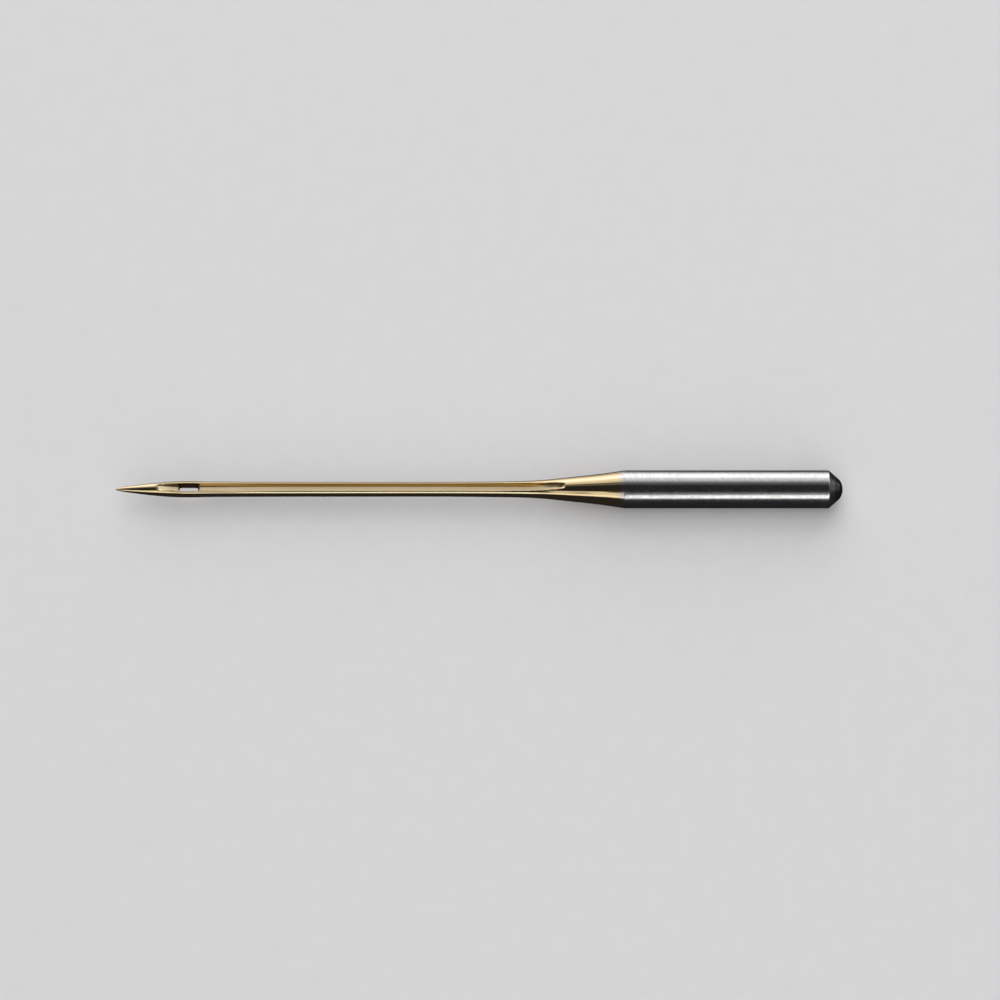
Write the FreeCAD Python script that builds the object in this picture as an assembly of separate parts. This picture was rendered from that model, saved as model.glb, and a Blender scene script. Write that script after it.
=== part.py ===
import FreeCAD, Part
import math
import os

# Lockstitch sewing machine needle with a plain round shank, one solid piece
# of steel wire: domed and chamfered butt, cylindrical shank, trumpet-shaped
# shoulder, slender blade, long thread groove, eye, short groove, hollow
# scarf and rounded point.
#
# Frame: millimetres, +X from the point to the butt, +Z up.  The needle lies
# on its shank as it comes to rest, long groove up and scarf down, with the
# origin under the middle of its length.  t is the distance from the tip.

# ---- lengths along the axis ------------------------------------------------
LENGTH = 38.30            # tip to butt
SHANK_D = 2.00            # plain round shank
SHOULDER_T = 26.82        # where the shoulder meets the shank
CHAMFER_T = 37.575        # where the butt chamfer starts
CHAMFER_LEN = 0.5645      # length of the chamfer cone along the axis
CHAMFER_HALF_DEG = 41.5   # chamfer cone, half angle from the axis

# ---- point -----------------------------------------------------------------
TIP_R = 0.045             # slightly rounded tip
TIP_HALF_DEG = 14.0       # slope of the point where the round tip starts

# ---- blade outline: t, radius --------------------------------------------------
BLADE = [
    (0.250, 0.0960),
    (0.600, 0.1570),
    (1.000, 0.2130),
    (1.500, 0.2740),
    (2.000, 0.3270),
    (2.500, 0.3700),
    (3.000, 0.4040),
    (3.400, 0.4190),
    (3.830, 0.4235),
    (4.300, 0.4195),
    (4.900, 0.4085),
    (6.000, 0.3985),
    (8.000, 0.3920),
    (11.00, 0.3880),
    (14.00, 0.3850),
    (17.00, 0.3850),
    (18.60, 0.3940),
    (20.30, 0.4140),
    (21.30, 0.4330),
    (22.00, 0.4590),
    (22.60, 0.4990),
    (23.42, 0.5810),
    (24.47, 0.6930),
    (25.53, 0.8120),
]
BLADE_STOPS = (6.000, 20.30)   # where its surface is divided
SHOULDER_SLOPE = 0.155    # flare of the shoulder where it meets the shank
SHOULDER_R = 1.00         # soft edge there
BUTT_EDGE_R = 0.05        # soft edges of the chamfer

# ---- long groove, cut by a form wheel along the top -------------------------
GROOVE_FLOOR = 0.060      # floor above the needle's axis
GROOVE_FLAT = 0.075       # half width of the flat floor
GROOVE_CORNER_R = 0.110   # floor to wall
GROOVE_FLARE_DEG = 9.0    # walls open outwards
GROOVE_WHEEL_R = 5.0      # wheel that leaves the two run-outs
GROOVE_T0 = 3.78          # wheel centre at the point end
GROOVE_T1 = 21.42         # wheel centre at the shank end
GROOVE_LIP_R = 0.030      # polished lips

# ---- eye --------------------------------------------------------------------
EYE_T0 = 3.360            # end nearer the tip
EYE_T1 = 4.370            # end nearer the shank
EYE_W = 0.400             # width
EYE_RIM_R = 0.050         # polished rim on the groove side
EYE_BACK_RIM_R = 0.040    # polished rim on the scarf side

# ---- short groove on the scarf side ------------------------------------------
SHORT_FLOOR = 0.215       # floor below the axis
SHORT_FLAT = 0.075
SHORT_CORNER_R = 0.110
SHORT_FLARE_DEG = 9.0
SHORT_WHEEL_R = 3.0
SHORT_T0 = 3.55
SHORT_T1 = 4.70

# ---- scarf --------------------------------------------------------------------
SCARF_DEPTH = 0.125       # below the blade's back
SCARF_R = 13.0            # radius of the hollow along the axis
SCARF_T = 6.05            # its deepest place

AXIS_Z = SHANK_D / 2.0
X_DIR = FreeCAD.Vector(1, 0, 0)


def at(t, y, n):
    """Point at distance t from the tip, y across, n above the axis."""
    return FreeCAD.Vector(t - LENGTH / 2.0, y, AXIS_Z + n)


def turned_body():
    """The needle before its grooves, a solid of revolution made of two half
    turns that meet at the sides, clear of everything cut in later."""
    a = math.radians(TIP_HALF_DEG)
    t0, r0 = TIP_R * (1 - math.sin(a)), TIP_R * math.cos(a)
    am = (a + math.pi / 2) / 2
    nose = Part.Arc(at(0, 0, 0),
                    at(TIP_R * (1 - math.sin(am)), 0, TIP_R * math.cos(am)),
                    at(t0, 0, r0)).toShape()
    r = SHANK_D / 2
    outline = Part.BSplineCurve()
    outline.interpolate(
        Points=[at(t0, 0, r0)] + [at(t, 0, v) for t, v in BLADE] + [at(SHOULDER_T, 0, r)],
        InitialTangent=FreeCAD.Vector(1, 0, math.tan(a)),
        FinalTangent=FreeCAD.Vector(1, 0, SHOULDER_SLOPE))
    # the blade in three lengths: point and eye, straight run, shoulder
    stops = [outline.FirstParameter]
    stops += [outline.parameter(at(t, 0, v)) for t, v in BLADE if t in BLADE_STOPS]
    stops += [outline.LastParameter]
    lengths = []
    for u0, u1 in zip(stops, stops[1:]):
        piece = outline.copy()
        piece.segment(u0, u1)
        lengths.append(piece.toShape())
    r1 = r - CHAMFER_LEN * math.tan(math.radians(CHAMFER_HALF_DEG))
    t1 = CHAMFER_T + CHAMFER_LEN
    dome = LENGTH - t1
    dome_r = (r1 * r1 + dome * dome) / (2 * dome)
    half = math.asin(r1 / dome_r) / 2
    edges = [nose] + lengths + [
        Part.makeLine(at(SHOULDER_T, 0, r), at(CHAMFER_T, 0, r)),
        Part.makeLine(at(CHAMFER_T, 0, r), at(t1, 0, r1)),
        Part.Arc(at(t1, 0, r1),
                 at(LENGTH - dome_r * (1 - math.cos(half)), 0, dome_r * math.sin(half)),
                 at(LENGTH, 0, 0)).toShape(),
        Part.makeLine(at(LENGTH, 0, 0), at(0, 0, 0)),
    ]
    face = Part.Face(Part.Wire(edges))
    face.rotate(at(0, 0, 0), X_DIR, 90)
    top = face.revolve(at(0, 0, 0), X_DIR, 180)
    bottom = top.copy()
    bottom.rotate(at(0, 0, 0), X_DIR, 180)
    return top.fuse(bottom).Solids[0]


def groove_face(floor, flat, corner, flare, top, side):
    """U section at t = 0: flat floor, round corners, flared walls.
    side is 1 for the groove side, -1 for the scarf side."""
    f = math.radians(flare)
    turn = math.pi / 2 - f
    y2, z2 = flat + corner * math.sin(turn), floor + corner * (1 - math.cos(turn))
    ym, zm = flat + corner * math.sin(turn / 2), floor + corner * (1 - math.cos(turn / 2))
    y3 = y2 + (top - z2) * math.tan(f)

    def p(y, z):
        return at(0, y, side * z)
    return Part.Face(Part.Wire([
        Part.makeLine(p(-flat, floor), p(flat, floor)),
        Part.Arc(p(flat, floor), p(ym, zm), p(y2, z2)).toShape(),
        Part.makeLine(p(y2, z2), p(y3, top)),
        Part.makeLine(p(y3, top), p(-y3, top)),
        Part.makeLine(p(-y3, top), p(-y2, z2)),
        Part.Arc(p(-y2, z2), p(-ym, zm), p(-flat, floor)).toShape(),
    ]))


def wheel_cut(face, t0, t1, floor, wheel, side):
    """The section driven from t0 to t1, with the wheel's round at both ends."""
    start = face.translated(FreeCAD.Vector(t0, 0, 0))
    end = face.translated(FreeCAD.Vector(t1, 0, 0))
    middle = start.extrude(FreeCAD.Vector(t1 - t0, 0, 0))
    axis = FreeCAD.Vector(0, side, 0)
    tipward = start.revolve(at(t0, 0, side * (floor + wheel)), axis, 50)
    buttward = end.revolve(at(t1, 0, side * (floor + wheel)), axis, -50)
    return [tipward, middle, buttward]


def eye_cut():
    """Oval hole straight through, front to back."""
    h, c0, c1 = EYE_W / 2, EYE_T0 + EYE_W / 2, EYE_T1 - EYE_W / 2
    wire = Part.Wire([
        Part.makeLine(at(c0, -h, -1), at(c1, -h, -1)),
        Part.Arc(at(c1, -h, -1), at(c1 + h, 0, -1), at(c1, h, -1)).toShape(),
        Part.makeLine(at(c1, h, -1), at(c0, h, -1)),
        Part.Arc(at(c0, h, -1), at(c0 - h, 0, -1), at(c0, -h, -1)).toShape(),
    ])
    return Part.Face(wire).extrude(FreeCAD.Vector(0, 0, 2))


def scarf_cut():
    """Roller whose top makes the hollow in the blade's back."""
    back = 0.395
    return Part.makeCylinder(SCARF_R, 2.0, at(SCARF_T, -1.0, -back + SCARF_DEPTH - SCARF_R),
                             FreeCAD.Vector(0, 1, 0))


def edges_in(shape, t_min, t_max, n_min, n_max):
    """Edges of shape that lie wholly between these limits."""
    found = []
    for e in shape.Edges:
        if e.Degenerated:
            continue
        b = e.BoundBox
        if (b.XMin + LENGTH / 2 > t_min and b.XMax + LENGTH / 2 < t_max
                and b.ZMin - AXIS_Z > n_min and b.ZMax - AXIS_Z < n_max):
            found.append(e)
    return found


def touching(edges, faces):
    """Those of edges where a face of faces meets a face that is not one of them."""
    sides = [sum(1 for f in faces for g in f.Edges if g.isSame(e)) for e in edges]
    return [e for e, n in zip(edges, sides) if n == 1]


# ---- turned blank --------------------------------------------------------------
needle = turned_body()

# ---- grooves, scarf and eye -----------------------------------------------------
long_cut = wheel_cut(
    groove_face(GROOVE_FLOOR, GROOVE_FLAT, GROOVE_CORNER_R, GROOVE_FLARE_DEG, 1.4, 1),
    GROOVE_T0, GROOVE_T1, GROOVE_FLOOR, GROOVE_WHEEL_R, 1)
short_cut = wheel_cut(
    groove_face(SHORT_FLOOR, SHORT_FLAT, SHORT_CORNER_R, SHORT_FLARE_DEG, 1.0, -1),
    SHORT_T0, SHORT_T1, SHORT_FLOOR, SHORT_WHEEL_R, -1)
for cutter in (long_cut, scarf_cut(), short_cut, eye_cut()):
    needle = needle.cut(cutter)
needle = needle.Solids[0]

# ---- polished edges ---------------------------------------------------------------
blade = [f for f in needle.Faces if f.Surface.TypeId == "Part::GeomSurfaceOfRevolution"]
needle = needle.makeFillet(
    GROOVE_LIP_R, touching(edges_in(needle, 2.1, 23.9, 0.3, 0.7), blade))
needle = needle.makeFillet(
    EYE_RIM_R, edges_in(needle, EYE_T0 - 0.01, EYE_T1 + 0.01, 0.05, 0.24))
needle = needle.makeFillet(
    EYE_BACK_RIM_R, edges_in(needle, EYE_T0 - 0.01, EYE_T1 + 0.01, -0.5, -0.2))
needle = needle.makeFillet(
    SHOULDER_R, edges_in(needle, SHOULDER_T - 0.01, SHOULDER_T + 0.01, -1.1, 1.1))
chamfer_end = CHAMFER_T + CHAMFER_LEN
needle = needle.makeFillet(
    BUTT_EDGE_R,
    edges_in(needle, CHAMFER_T - 0.01, CHAMFER_T + 0.01, -1.1, 1.1)
    + edges_in(needle, chamfer_end - 0.01, chamfer_end + 0.01, -1.1, 1.1))
needle = needle.Solids[0]

print("valid", needle.isValid(), "volume mm3", round(needle.Volume, 3))
print("centre of mass", needle.CenterOfMass, "faces", len(needle.Faces))
os.makedirs("parts", exist_ok=True)
needle.exportStep("parts/needle.step")
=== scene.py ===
import math

import bmesh
import bpy
import numpy as np
from mathutils import Matrix, Vector


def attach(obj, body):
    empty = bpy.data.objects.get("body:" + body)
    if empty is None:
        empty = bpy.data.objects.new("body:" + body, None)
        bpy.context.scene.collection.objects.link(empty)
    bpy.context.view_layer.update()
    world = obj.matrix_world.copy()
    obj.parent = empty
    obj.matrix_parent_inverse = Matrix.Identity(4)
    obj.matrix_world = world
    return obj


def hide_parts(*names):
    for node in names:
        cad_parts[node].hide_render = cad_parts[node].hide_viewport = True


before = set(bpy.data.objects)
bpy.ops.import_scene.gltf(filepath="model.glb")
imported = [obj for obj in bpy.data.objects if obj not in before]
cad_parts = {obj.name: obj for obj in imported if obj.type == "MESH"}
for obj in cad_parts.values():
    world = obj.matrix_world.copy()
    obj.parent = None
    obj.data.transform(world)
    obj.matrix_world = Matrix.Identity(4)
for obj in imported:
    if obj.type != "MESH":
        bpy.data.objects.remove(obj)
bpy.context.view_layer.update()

# --------------------------------------------------------------------------
# The needle's form, in millimetres.  t runs along the axis from the tip,
# y across, n up from the axis, long groove on top.
# --------------------------------------------------------------------------
LENGTH = 38.30
AXIS_Z = 1.00
SHOULDER_T, SHOULDER_SLOPE = 26.82, 0.155
CHAMFER_T, CHAMFER_LEN, CHAMFER_DEG = 37.575, 0.5645, 41.5
TIP_R, TIP_DEG = 0.045, 14.0
BLADE = [
    (0.250, 0.0960), (0.600, 0.1570), (1.000, 0.2130), (1.500, 0.2740),
    (2.000, 0.3270), (2.500, 0.3700), (3.000, 0.4040), (3.400, 0.4190),
    (3.830, 0.4235), (4.300, 0.4195), (4.900, 0.4085), (6.000, 0.3985),
    (8.000, 0.3920), (11.00, 0.3880), (14.00, 0.3850), (17.00, 0.3850),
    (18.60, 0.3940), (20.30, 0.4140), (21.30, 0.4330), (22.00, 0.4590),
    (22.60, 0.4990), (23.42, 0.5810), (24.47, 0.6930), (25.53, 0.8120),
]
GROOVE = dict(floor=0.060, flat=0.075, corner=0.110, flare=9.0, wheel=5.0, t0=3.78, t1=21.42)
SHORT = dict(floor=0.215, flat=0.075, corner=0.110, flare=9.0, wheel=3.0, t0=3.55, t1=4.70)
EYE_T0, EYE_T1, EYE_W = 3.360, 4.370, 0.400
SCARF_T, SCARF_R, SCARF_FLOOR = 6.05, 13.0, 0.270

TIP_A = math.radians(TIP_DEG)
TIP_T, TIP_RAD = TIP_R * (1 - math.sin(TIP_A)), TIP_R * math.cos(TIP_A)


def spline(points, slope0, slope1):
    """Clamped cubic through the points: returns value and slope functions."""
    x = np.array([p[0] for p in points])
    y = np.array([p[1] for p in points])
    h = np.diff(x)
    n = len(x)
    a = np.zeros((n, n))
    b = np.zeros(n)
    a[0, 0], a[-1, -1] = 1.0, 1.0
    b[0], b[-1] = slope0, slope1
    for i in range(1, n - 1):
        a[i, i - 1] = 1 / h[i - 1]
        a[i, i] = 2 / h[i - 1] + 2 / h[i]
        a[i, i + 1] = 1 / h[i]
        b[i] = 3 * ((y[i] - y[i - 1]) / h[i - 1] ** 2 + (y[i + 1] - y[i]) / h[i] ** 2)
    m = np.linalg.solve(a, b)

    def value(q):
        q = np.clip(q, x[0], x[-1])
        i = np.clip(np.searchsorted(x, q, side="right") - 1, 0, n - 2)
        s = (q - x[i]) / h[i]
        return ((1 + 2 * s) * (1 - s) ** 2 * y[i] + s * (1 - s) ** 2 * h[i] * m[i]
                + s * s * (3 - 2 * s) * y[i + 1] + s * s * (s - 1) * h[i] * m[i + 1])

    def slope(q):
        q = np.clip(q, x[0], x[-1])
        i = np.clip(np.searchsorted(x, q, side="right") - 1, 0, n - 2)
        s = (q - x[i]) / h[i]
        return (6 * s * (s - 1) * (y[i] - y[i + 1]) / h[i]
                + (3 * s * s - 4 * s + 1) * m[i] + (3 * s * s - 2 * s) * m[i + 1])
    return value, slope


blade_r, blade_slope = spline(
    [(TIP_T, TIP_RAD)] + BLADE + [(SHOULDER_T, 1.0)], math.tan(TIP_A), SHOULDER_SLOPE)
CHAMFER_TAN = math.tan(math.radians(CHAMFER_DEG))
DOME_T = CHAMFER_T + CHAMFER_LEN
DOME_EDGE = 1.0 - CHAMFER_LEN * CHAMFER_TAN
DOME_H = LENGTH - DOME_T
DOME_R = (DOME_EDGE ** 2 + DOME_H ** 2) / (2 * DOME_H)


def round_cut(a, b, r):
    """Where both are inside: the edge between them rounded to radius r."""
    u = np.maximum(r + a, 0.0)
    v = np.maximum(r + b, 0.0)
    return np.minimum(-r, np.maximum(a, b)) + np.sqrt(u * u + v * v)


def soft_max(a, b, k):
    h = np.maximum(k - np.abs(a - b), 0.0) / k
    return np.maximum(a, b) + h * h * k / 4


def blank(t, rho):
    """Turned outline, negative inside."""
    tc = np.clip(t, TIP_T, SHOULDER_T)
    over = np.maximum(t - SHOULDER_T, 0.0)
    side = (rho - blade_r(tc) - over * SHOULDER_SLOPE) / np.sqrt(1 + blade_slope(tc) ** 2)
    nose = np.sqrt(rho ** 2 + (t - TIP_R) ** 2) - TIP_R
    front = np.where(t < TIP_T, nose, side)
    shank = rho - 1.0
    cone = (rho - 1.0 + (t - CHAMFER_T) * CHAMFER_TAN) / math.sqrt(1 + CHAMFER_TAN ** 2)
    dome = np.sqrt(rho ** 2 + (t - LENGTH + DOME_R) ** 2) - DOME_R
    end = np.where(t > DOME_T, soft_max(cone, dome, 0.01), cone)
    body = soft_max(front, shank, 0.012)
    return np.where(t > 36.5, soft_max(body, end, 0.018), body)


def u_void(t, y, n, floor, flat, corner, flare, wheel, t0, t1):
    """Groove made by a form wheel, negative where metal is gone."""
    dt = np.where(t < t0, t - t0, np.where(t > t1, t - t1, 0.0))
    h = wheel - np.sqrt(dt * dt + (floor + wheel - n) ** 2)
    f = math.radians(flare)
    ay = np.abs(y)
    cy, ch = flat, corner
    vy, vh = ay - cy, h - ch
    d_floor = -h
    d_wall = vy * math.cos(f) - vh * math.sin(f) - corner
    arc = np.sqrt(vy * vy + vh * vh) - corner
    in_arc = (vy > 0) & (vy * math.sin(f) + vh * math.cos(f) < 0)
    return np.where(in_arc, arc, np.maximum(d_floor, d_wall))


def needle_field(t, y, n):
    """Signed field of the whole needle, negative in the metal."""
    rho = np.sqrt(y * y + n * n)
    d = blank(t, rho)
    # the groove's lips are polished rounder near the eye, one more than the other
    near = np.clip((9.0 - t) / 3.0, 0.0, 1.0)
    lip = 0.014 + near * (0.040 + 0.036 * (y < 0) * np.clip((t - 2.6) / 0.8, 0.0, 1.0))
    d = round_cut(d, -u_void(t, y, n, **GROOVE), lip)
    scarf = np.sqrt((t - SCARF_T) ** 2 + (n + SCARF_FLOOR + SCARF_R) ** 2) - SCARF_R
    d = round_cut(d, -scarf, 0.040)
    d = round_cut(d, -u_void(t, y, -n, **SHORT), 0.025)
    half = EYE_W / 2
    along = np.maximum(np.abs(t - (EYE_T0 + EYE_T1) / 2) - ((EYE_T1 - EYE_T0) / 2 - half), 0.0)
    eye = np.sqrt(along ** 2 + y * y) - half
    return round_cut(d, -eye, 0.045)


def stations():
    """Places along the axis, close together where the form changes quickly."""
    spans = [(-0.06, 0.10, 0.012), (0.10, 2.0, 0.045), (2.0, 5.4, 0.024),
             (5.4, 8.0, 0.06), (8.0, 20.8, 0.17), (20.8, 24.1, 0.036),
             (24.1, 26.6, 0.10), (26.6, 27.0, 0.03), (27.0, 37.3, 0.26),
             (37.3, 37.9, 0.03), (37.9, 38.36, 0.024)]
    out = []
    for a, b, step in spans:
        k = max(1, int(round((b - a) / step)))
        out.extend(list(a + (b - a) * np.arange(k) / k))
    out.append(38.36)
    return np.array(out)


def needle_mesh(name, cells=46):
    ts = stations()
    rr = np.where(ts < SHOULDER_T, blade_r(np.maximum(ts, TIP_T)), 1.0)
    half = np.maximum(rr * 1.07, 0.055)
    g = np.linspace(-1.0, 1.0, cells + 1) + 0.0031
    T = ts[:, None, None] + 0 * g[None, :, None] + 0 * g[None, None, :]
    Y = half[:, None, None] * g[None, :, None] + 0 * T
    N = half[:, None, None] * g[None, None, :] + 0 * T
    F = needle_field(T, Y, N)
    P = np.stack([T, Y, N], axis=-1)
    inside = F < 0
    nx, ny, nz = F.shape
    # cells crossed by the surface, each gets one vertex at the mean crossing
    acc = np.zeros((nx - 1, ny - 1, nz - 1, 3))
    cnt = np.zeros((nx - 1, ny - 1, nz - 1))

    def cross(axis):
        a = [slice(None)] * 3
        b = [slice(None)] * 3
        a[axis], b[axis] = slice(0, -1), slice(1, None)
        fa, fb = F[tuple(a)], F[tuple(b)]
        hit = (fa < 0) != (fb < 0)
        w = np.where(hit, fa / np.where(hit, fa - fb, 1.0), 0.0)[..., None]
        p = P[tuple(a)] * (1 - w) + P[tuple(b)] * w
        return hit, p, fa < 0

    edges = {}
    for axis in range(3):
        hit, p, sign = cross(axis)
        edges[axis] = (hit, sign)
        other = [k for k in range(3) if k != axis]
        for s0 in (0, 1):
            for s1 in (0, 1):
                sl = [slice(None)] * 3
                for o, s in zip(other, (s0, s1)):
                    sl[o] = slice(0, -1) if s == 0 else slice(1, None)
                h = hit[tuple(sl)]
                acc += np.where(h[..., None], p[tuple(sl)], 0.0)
                cnt += h
    used = cnt > 0
    index = -np.ones(used.shape, dtype=np.int64)
    index[used] = np.arange(used.sum())
    v = acc[used] / cnt[used][:, None]
    quads = []
    for axis in range(3):
        hit, sign = edges[axis]
        i, j, k = np.nonzero(hit)
        c = [i, j, k]
        other = [m for m in range(3) if m != axis]
        ok = np.ones(len(i), dtype=bool)
        for o in other:
            ok &= (c[o] > 0) & (c[o] < index.shape[o])
        ok &= c[axis] < index.shape[axis]
        i, j, k = i[ok], j[ok], k[ok]
        s = sign[i, j, k]
        c = [i, j, k]
        ring = []
        for da, db in ((0, 0), (1, 0), (1, 1), (0, 1)):
            q = [c[0].copy(), c[1].copy(), c[2].copy()]
            q[other[0]] = q[other[0]] - da
            q[other[1]] = q[other[1]] - db
            ring.append(index[q[0], q[1], q[2]])
        quad = np.stack(ring, axis=1)
        flip = s if axis != 1 else ~s
        quad[flip] = quad[flip][:, ::-1]
        quads.append(quad)
    quads = np.concatenate(quads)
    # settle every vertex on the true surface
    for _ in range(6):
        f, grad = field_and_slope(v)
        step = f / np.maximum((grad ** 2).sum(1), 0.05)
        limit = 0.04
        step = np.clip(step, -limit, limit)
        v = v - step[:, None] * grad
    _, grad = field_and_slope(v)
    normals = grad / np.linalg.norm(grad, axis=1)[:, None]
    # outward facing
    a, b, c, d = (v[quads[:, m]] for m in range(4))
    fn = np.cross(c - a, d - b)
    mean = normals[quads].sum(1)
    wrong = (fn * mean).sum(1) < 0
    quads[wrong] = quads[wrong][:, ::-1]
    print("needle quads", len(quads), "vertices", len(v), "turned", int(wrong.sum()))
    co = np.empty_like(v)
    co[:, 0] = (v[:, 0] - LENGTH / 2) * 0.001
    co[:, 1] = v[:, 1] * 0.001
    co[:, 2] = (v[:, 2] + AXIS_Z) * 0.001
    me = bpy.data.meshes.new(name)
    me.from_pydata(co.tolist(), [], quads.tolist())
    me.validate()
    me.update()
    me.shade_smooth()
    if len(me.vertices) == len(normals):
        me.normals_split_custom_set_from_vertices([tuple(q) for q in normals])
    # inside: how far under the outside, 0 to 1; inner: 1 on the groove floors; wall: 1 on the groove
    # and eye walls, where a darker gold is painted as shade
    depth = np.sqrt(v[:, 1] ** 2 + v[:, 2] ** 2) - np.where(
        v[:, 0] < SHOULDER_T, blade_r(np.clip(v[:, 0], TIP_T, SHOULDER_T)), 1.0)
    front = (v[:, 2] > 0) & (v[:, 0] > 1.8) & (v[:, 0] < 24.5)
    back = (v[:, 2] <= 0) & (v[:, 0] > 2.2) & (v[:, 0] < 5.9) & (-v[:, 2] < SCARF_FLOOR)
    inside = (np.clip((-depth - 0.030) / 0.05, 0.0, 1.0)
              * (np.abs(v[:, 1]) < 0.215) * (front | back))
    t, upright = v[:, 0], np.abs(normals[:, 2])
    flat = np.clip((upright - 0.80) / 0.12, 0.0, 1.0)
    # floor and corner turn polished where they run out into shoulder and point
    flat = flat * np.clip((23.50 - t) / 0.35, 0.0, 1.0)
    y, ny = v[:, 1], normals[:, 1]
    ends = np.clip(np.maximum.reduce(
        [(t - 21.4) / 0.8, (3.3 - t) / 0.5, (6.3 - t) / 1.2 * (t > 4.3)]), 0.0, 1.0)
    near_corner = ends * np.clip((ny - 0.06) / 0.15, 0.0, 1.0)
    flat = flat * (1 - near_corner)
    # painted shade: near-black colour along the top of the groove's walls, in its corners, in its
    # run-outs and round the eye's rim, standing in for shade and dark reflections, stronger on the far
    # wall (y > 0)
    along = np.clip((t - 5.2) / 3.0, 0.0, 1.0) * np.clip((22.4 - t) / 0.6, 0.0, 1.0)
    lift = 0.026 * np.clip((t - 11.0) / 4.0, 0.0, 1.0)
    top = (np.clip((-depth - 0.030 + lift) / 0.015, 0.0, 1.0)
           * np.clip((0.125 + depth - lift) / 0.03, 0.0, 1.0)
           * np.clip((0.60 - upright) / 0.2, 0.0, 1.0) * (np.abs(y) < 0.235) * front)
    turn = np.degrees(np.arccos(np.clip(upright, 0.0, 1.0)))
    corner = np.clip((20.0 - np.abs(turn - 31.0)) / 6.0, 0.0, 1.0) * inside * front
    by_eye = np.clip((8.0 - t) / 3.0, 0.0, 1.0)
    at_point = np.clip((3.46 - t) / 0.05, 0.0, 1.0) * np.clip((-ny - 0.06) / 0.10, 0.0, 1.0)
    at_shoulder = np.maximum(
        np.clip((t - 22.30) / 0.6, 0.0, 1.0) * np.clip((-ny - 0.15) / 0.2, 0.0, 1.0),
        0.88 * np.clip((t - 22.95 + 4.5 * y) / 0.30, 0.0, 1.0) * np.clip((0.14 - ny) / 0.10, 0.0, 1.0))
    mid, half = (EYE_T0 + EYE_T1) / 2, (EYE_T1 - EYE_T0) / 2
    eye = np.sqrt(np.maximum(np.abs(t - mid) - (half - EYE_W / 2), 0.0) ** 2 + y ** 2) - EYE_W / 2
    spread = 0.052 + np.where(t > mid, 0.060, 0.025) * np.clip((y + 0.09) / 0.16, 0.0, 1.0)
    rim = (np.clip((spread - eye) / 0.02, 0.0, 1.0) * (np.abs(t - mid) > half - 0.08)
           * np.clip((0.20 - np.abs(y)) / 0.02, 0.0, 1.0) * (np.abs(v[:, 2]) < 0.30))
    painted_shade = np.maximum.reduce([
        0.85 * top * along,
        (0.26 + 0.68 * by_eye) * corner * np.clip((t - 4.3) / 0.1, 0.0, 1.0) * (t < 22.6) * (y > 0),
        0.35 * corner * (t > 6.3) * (t < 21.4) * (y <= 0),
        0.95 * at_point * inside * front,
        0.92 * at_shoulder * inside * front,
        0.85 * np.clip((t - 22.5) / 0.5, 0.0, 1.0) * np.clip((-depth - 0.002) / 0.012, 0.0, 1.0)
        * np.clip((0.26 - np.abs(y)) / 0.02, 0.0, 1.0) * np.clip((y + 0.02) / 0.04, 0.0, 1.0) * front,
        0.90 * rim])
    # painted shade: the groove and eye walls get a darker, deeper gold standing in for their shade and
    # gold-on-gold reflections, less of it near the eye
    wall = inside * (1 - flat) * (1 - 0.45 * by_eye * (t > 4.4)) * (1 - near_corner)
    if len(me.vertices) == len(inside):
        for key, value in (("inner", inside * flat), ("wall", wall), ("painted_shade", painted_shade)):
            attr = me.attributes.new(key, "FLOAT", "POINT")
            attr.data.foreach_set("value", value.astype(np.float32))
    ob = bpy.data.objects.new(name, me)
    bpy.context.scene.collection.objects.link(ob)
    return ob


def field_and_slope(v, e=2e-4):
    f = needle_field(v[:, 0], v[:, 1], v[:, 2])
    grad = np.empty_like(v)
    for axis in range(3):
        p, q = v.copy(), v.copy()
        p[:, axis] += e
        q[:, axis] -= e
        grad[:, axis] = (needle_field(p[:, 0], p[:, 1], p[:, 2])
                         - needle_field(q[:, 0], q[:, 1], q[:, 2])) / (2 * e)
    return f, grad


# --------------------------------------------------------------------------
# Materials
# --------------------------------------------------------------------------
def new_material(name):
    mat = bpy.data.materials.new(name)
    mat.use_nodes = True
    nt = mat.node_tree
    nt.nodes.clear()
    out = nt.nodes.new("ShaderNodeOutputMaterial")
    bsdf = nt.nodes.new("ShaderNodeBsdfPrincipled")
    nt.links.new(bsdf.outputs["BSDF"], out.inputs["Surface"])
    return mat, nt, bsdf


def math_node(nt, op, a, b=None, clamp=False):
    n = nt.nodes.new("ShaderNodeMath")
    n.operation = op
    n.use_clamp = clamp
    for i, v in enumerate((a, b)):
        if v is None:
            continue
        if isinstance(v, (int, float)):
            n.inputs[i].default_value = v
        else:
            nt.links.new(v, n.inputs[i])
    return n.outputs[0]


def map_range(nt, value, a, b, c, d, smooth=False):
    n = nt.nodes.new("ShaderNodeMapRange")
    n.interpolation_type = "SMOOTHSTEP" if smooth else "LINEAR"
    n.clamp = True
    nt.links.new(value, n.inputs["Value"])
    for k, v in (("From Min", a), ("From Max", b), ("To Min", c), ("To Max", d)):
        if isinstance(v, (int, float)):
            n.inputs[k].default_value = v
        else:
            nt.links.new(v, n.inputs[k])
    return n.outputs["Result"]


def noise(nt, coords, scale, detail=2.0, rough=0.5):
    """Noise on object coordinates scaled per axis, features a unit across."""
    m = nt.nodes.new("ShaderNodeMapping")
    m.inputs["Scale"].default_value = scale
    nt.links.new(coords, m.inputs["Vector"])
    n = nt.nodes.new("ShaderNodeTexNoise")
    n.inputs["Scale"].default_value = 1.0
    n.inputs["Detail"].default_value = detail
    n.inputs["Roughness"].default_value = rough
    nt.links.new(m.outputs["Vector"], n.inputs["Vector"])
    return n.outputs["Fac"]


def mix_rgb(nt, fac, a, b):
    n = nt.nodes.new("ShaderNodeMix")
    n.data_type = "RGBA"
    nt.links.new(fac, n.inputs["Factor"])
    for k, v in ((6, a), (7, b)):
        if isinstance(v, tuple):
            n.inputs[k].default_value = v
        else:
            nt.links.new(v, n.inputs[k])
    return n.outputs[2]


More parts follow.
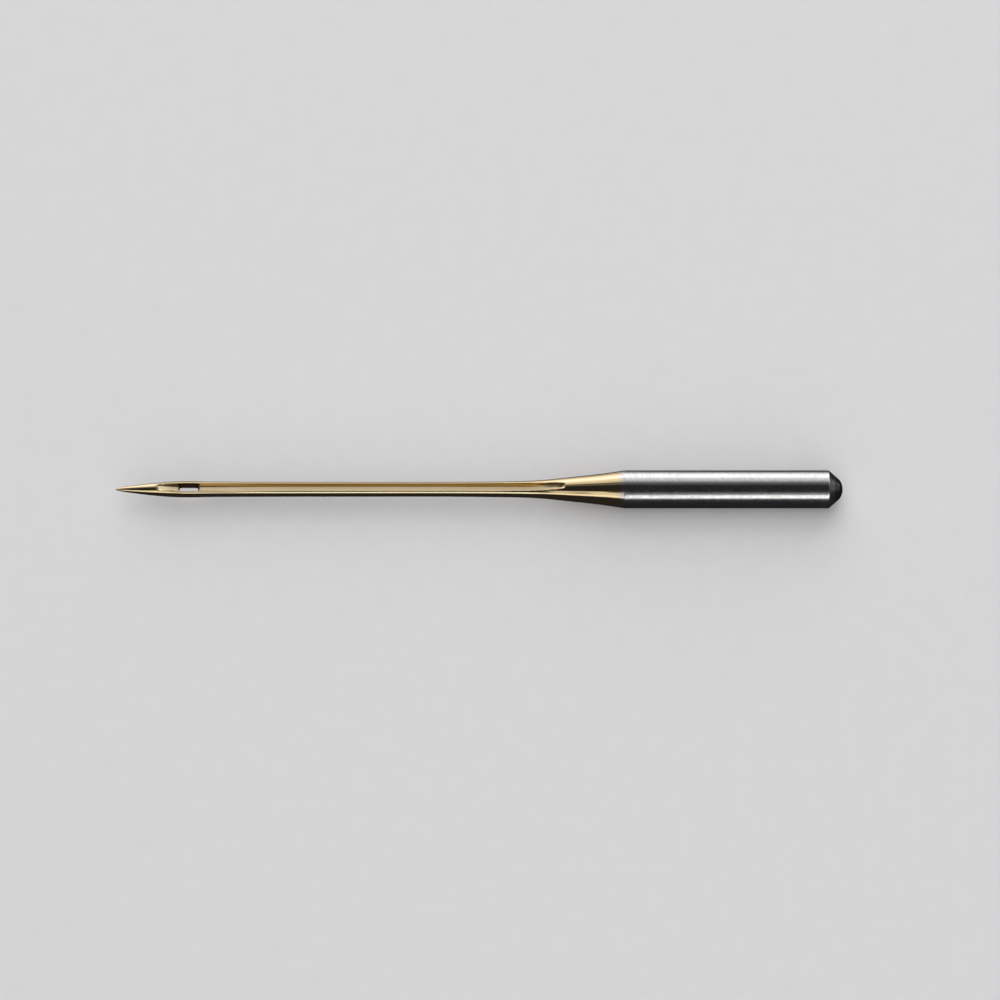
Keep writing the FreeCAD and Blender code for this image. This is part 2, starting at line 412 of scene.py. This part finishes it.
def mix_value(nt, fac, a, b):
    n = nt.nodes.new("ShaderNodeMix")
    n.data_type = "FLOAT"
    nt.links.new(fac, n.inputs["Factor"])
    for k, v in ((2, a), (3, b)):
        if isinstance(v, (int, float)):
            n.inputs[k].default_value = v
        else:
            nt.links.new(v, n.inputs[k])
    return n.outputs[0]


def needle_material():
    """Satin bare steel shank, polished gold-coloured coating on shoulder,
    blade and point."""
    mat, nt, bsdf = new_material("needle_metal")
    tc = nt.nodes.new("ShaderNodeTexCoord")
    obj = tc.outputs["Object"]
    sep = nt.nodes.new("ShaderNodeSeparateXYZ")
    nt.links.new(obj, sep.inputs[0])
    # millimetres from the tip
    t = math_node(nt, "ADD", math_node(nt, "MULTIPLY", sep.outputs["X"], 1000.0), LENGTH / 2)
    wob = noise(nt, obj, (2500, 2500, 2500), 3.0)
    tw = math_node(nt, "ADD", t, math_node(nt, "MULTIPLY", math_node(nt, "SUBTRACT", wob, 0.5), 0.20))
    bare = map_range(nt, tw, 26.28, 26.92, 0.0, 1.0, smooth=True)

    # colours
    tone = noise(nt, obj, (300, 1800, 1800), 3.0)
    gold = mix_rgb(nt, tone, (0.80, 0.61, 0.32, 1.0), (0.87, 0.70, 0.42, 1.0))
    floor_gold = mix_rgb(nt, tone, (0.84, 0.68, 0.41, 1.0), (0.93, 0.79, 0.52, 1.0))
    # painted shade: darker, deeper gold for the groove walls
    painted_shade_wall_gold = mix_rgb(nt, tone, (0.54, 0.35, 0.11, 1.0), (0.68, 0.46, 0.16, 1.0))
    at_floor = nt.nodes.new("ShaderNodeAttribute")
    at_floor.attribute_name = "inner"
    at_wall = nt.nodes.new("ShaderNodeAttribute")
    at_wall.attribute_name = "wall"
    gold = mix_rgb(nt, at_floor.outputs["Fac"], gold, floor_gold)
    gold = mix_rgb(nt, at_wall.outputs["Fac"], gold, painted_shade_wall_gold)
    # painted shade: near-black mixed into the gold where the shade attribute is set
    at_shade = nt.nodes.new("ShaderNodeAttribute")
    at_shade.attribute_name = "painted_shade"
    gold = mix_rgb(nt, at_shade.outputs["Fac"], gold, (0.055, 0.040, 0.016, 1.0))
    steel_tone = noise(nt, obj, (900, 700, 700), 3.0)
    steel = mix_rgb(nt, steel_tone, (0.59, 0.585, 0.58, 1.0), (0.69, 0.685, 0.68, 1.0))
    # the grinding marks round the shank, a speckle of duller metal
    speck = noise(nt, obj, (15000, 6500, 6500), 3.0, 0.65)
    dull = map_range(nt, speck, 0.44, 0.66, 0.0, 0.45)
    steel = mix_rgb(nt, dull, steel, (0.36, 0.355, 0.345, 1.0))
    # painted shade: the rounded end of the butt is made darker, standing in for the dark surroundings
    # it reflects
    butt = map_range(nt, tw, 37.86, 37.92, 0.0, 1.0, smooth=True)
    steel = mix_rgb(nt, butt, steel, (0.30, 0.295, 0.28, 1.0))
    colour = mix_rgb(nt, bare, gold, steel)
    nt.links.new(colour, bsdf.inputs["Base Color"])
    bsdf.inputs["Metallic"].default_value = 1.0

    # roughness
    mott = noise(nt, obj, (9000, 5000, 5000), 3.0, 0.6)
    r_steel = map_range(nt, mott, 0.3, 0.7, 0.14, 0.27)
    streak = noise(nt, obj, (250, 9000, 9000), 3.0, 0.6)
    r_gold = map_range(nt, streak, 0.3, 0.7, 0.07, 0.12)
    # the groove floors are left matt, as they were pressed
    inner = at_floor.outputs["Fac"]
    r_inner = map_range(nt, streak, 0.3, 0.7, 0.36, 0.48)
    r_gold = mix_value(nt, inner, r_gold, r_inner)
    nt.links.new(mix_value(nt, bare, r_gold, r_steel), bsdf.inputs["Roughness"])
    nt.links.new(map_range(nt, inner, 0.0, 1.0, 1.0, 0.20), bsdf.inputs["Metallic"])

    # relief: fine turned grain on the shank, faint polish lines on the blade
    grain = noise(nt, obj, (13000, 5500, 5500), 2.0, 0.55)
    lines = noise(nt, obj, (400, 12000, 12000), 3.0, 0.6)
    height = mix_value(nt, bare, math_node(nt, "MULTIPLY", lines, 0.08), grain)
    bump = nt.nodes.new("ShaderNodeBump")
    bump.inputs["Strength"].default_value = 1.0
    bump.inputs["Distance"].default_value = 0.0000014
    nt.links.new(height, bump.inputs["Height"])
    nt.links.new(bump.outputs["Normal"], bsdf.inputs["Normal"])
    return mat


def floor_material():
    mat, nt, bsdf = new_material("floor_pale")
    tc = nt.nodes.new("ShaderNodeTexCoord")
    n = noise(nt, tc.outputs["Object"], (900, 900, 900), 4.0)
    col = mix_rgb(nt, n, (0.70, 0.70, 0.71, 1.0), (0.74, 0.74, 0.75, 1.0))
    nt.links.new(col, bsdf.inputs["Base Color"])
    bsdf.inputs["Roughness"].default_value = 0.8
    return mat


# --------------------------------------------------------------------------
# Object
# --------------------------------------------------------------------------
needle = needle_mesh("needle_body")
needle.data.materials.append(needle_material())
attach(needle, "root")
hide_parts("needle")

# --------------------------------------------------------------------------
# Floor, camera and light
# --------------------------------------------------------------------------
me = bpy.data.meshes.new("floor")
h = 0.35
me.from_pydata([(-h, -h, 0), (h, -h, 0), (h, h, 0), (-h, h, 0)], [], [(0, 1, 2, 3)])
floor = bpy.data.objects.new("floor", me)
bpy.context.scene.collection.objects.link(floor)
floor.data.materials.append(floor_material())
floor.location.z = -0.00001

TILT = math.radians(69.0)
LENS, SENSOR = 400.0, 36.0
WIDTH = 0.05267
DIST = WIDTH * LENS / SENSOR
look = Vector((0.0, -math.cos(TILT), math.sin(TILT)))      # from needle to camera
up = Vector((0.0, math.sin(TILT), math.cos(TILT)))
aim = Vector((0.001106, 0.0, 0.001)) - up * 0.00056
cam_data = bpy.data.cameras.new("camera")
cam_data.type = "PERSP"
cam_data.lens = LENS
cam_data.sensor_width = SENSOR
cam_data.clip_start = 0.01
cam_data.clip_end = 10.0
cam_data.dof.use_dof = False
cam = bpy.data.objects.new("camera", cam_data)
bpy.context.scene.collection.objects.link(cam)
cam.location = aim + look * DIST
right = Vector((1.0, 0.0, 0.0))
cam.rotation_euler = Matrix((right, up, look)).transposed().to_euler()
bpy.context.scene.camera = cam


def card(name, beta0, beta1, radiance, distance=0.40, length=0.60, shift=0.0, shine=True, wash=True,
         tint=(1.0, 1.0, 1.0)):
    """Softbox seen in the needle between the angles beta0 and beta1, measured
    round the needle from the camera's direction, positive to the far side,
    and shifted along the needle.  Without wash it only shows in the metal,
    without shine it only lights the floor and matt places."""
    beta = math.radians((beta0 + beta1) / 2)
    width = 2 * distance * math.tan(math.radians(abs(beta1 - beta0)) / 2)
    data = bpy.data.lights.new(name, "AREA")
    data.shape = "RECTANGLE"
    data.size = length
    data.size_y = width
    data.energy = radiance * math.pi * length * width
    data.color = tint
    ob = bpy.data.objects.new(name, data)
    bpy.context.scene.collection.objects.link(ob)
    x = Vector((1.0, 0.0, 0.0))
    d = look * math.cos(beta) + up * math.sin(beta)
    ob.location = Vector((shift, 0.0, 0.001)) + d * distance
    ob.rotation_euler = Matrix((x, d.cross(x), d)).transposed().to_euler()
    ob.visible_glossy = shine
    ob.visible_diffuse = wash
    ob.visible_camera = False
    return ob


def end_card(name, place, size, radiance):
    """Weak upright softbox beyond one end of the needle, facing it."""
    data = bpy.data.lights.new(name, "AREA")
    data.shape, data.size, data.size_y = "RECTANGLE", size[0], size[1]
    data.energy = radiance * math.pi * size[0] * size[1]
    ob = bpy.data.objects.new(name, data)
    bpy.context.scene.collection.objects.link(ob)
    ob.location = place
    ob.rotation_euler = Vector((place[0], place[1], 0.0)).to_track_quat("Z", "Y").to_euler()
    ob.visible_diffuse = False
    ob.visible_camera = False


card("key", 76, 106, 1.78, length=0.34, shift=0.13)
card("key_wash", 76, 106, 1.78, distance=0.5, length=0.26, shift=-0.17, shine=False)
card("key_cone", 76, 106, 1.82, length=0.26, shift=-0.17, wash=False, tint=(0.88, 0.80, 0.98))
card("key_low", 106, 122, 1.00)
card("rim_blade", 122, 145, 0.45, length=0.31, shift=-0.149)
card("rim_shank", 122, 138, 0.20, length=0.30, shift=0.158)
card("key_upper", 60, 76, 0.95)
card("key_soft", 48, 60, 0.65)
card("key_edge", 30, 48, 0.11)
card("strip_shank", -57, -35, 1.95, length=0.306, shift=0.155, tint=(1.0, 0.98, 0.95))
card("strip_step", -35, -21, 0.19, length=0.30, shift=0.158)
card("strip_butt", -35, -20, 0.20, length=0.24, shift=0.143)
card("strip_blade", -60, -43, 1.52, length=0.038, shift=-0.019, tint=(0.82, 0.91, 1.0))
card("strip_cone", -57, -42, 1.12, length=0.265, shift=-0.1705)
card("side_cone", -42, -17, 0.85, length=0.032, shift=-0.0890)
card("side_tip", -42, -25, 0.85, length=0.198, shift=-0.204)
card("overhead", -35, 73, 1.25, distance=0.5, shine=False)
# the same boxes further along, for the metal as seen from the needle's ends
card("key_left", 60, 122, 1.20, length=0.90, shift=-0.755, wash=False)
card("key_right", 60, 98, 1.20, length=0.50, shift=0.560, wash=False)
card("soft_left", 20, 60, 0.30, length=0.90, shift=-0.755, wash=False)
card("soft_right", 20, 60, 0.30, length=0.50, shift=0.560, wash=False)
card("strip_left", -60, -38, 1.30, length=0.90, shift=-0.755, wash=False)
card("strip_right", -58, -35, 1.30, length=0.50, shift=0.560, wash=False)
end_card("end_left", (-0.75, 0.0, 0.32), (1.10, 0.64), 0.20)
end_card("end_right", (0.75, 0.0, 0.32), (0.90, 0.60), 0.05)
end_card("butt_card", (0.356, 0.182, 0.0145), (0.50, 0.155), 0.06)

world = bpy.data.worlds.new("studio")
world.use_nodes = True
bg = world.node_tree.nodes["Background"]
bg.inputs["Color"].default_value = (0.022, 0.021, 0.023, 1.0)
bg.inputs["Strength"].default_value = 1.0
bpy.context.scene.world = world
bpy.context.scene.view_settings.view_transform = "Standard"

floor.visible_glossy = False
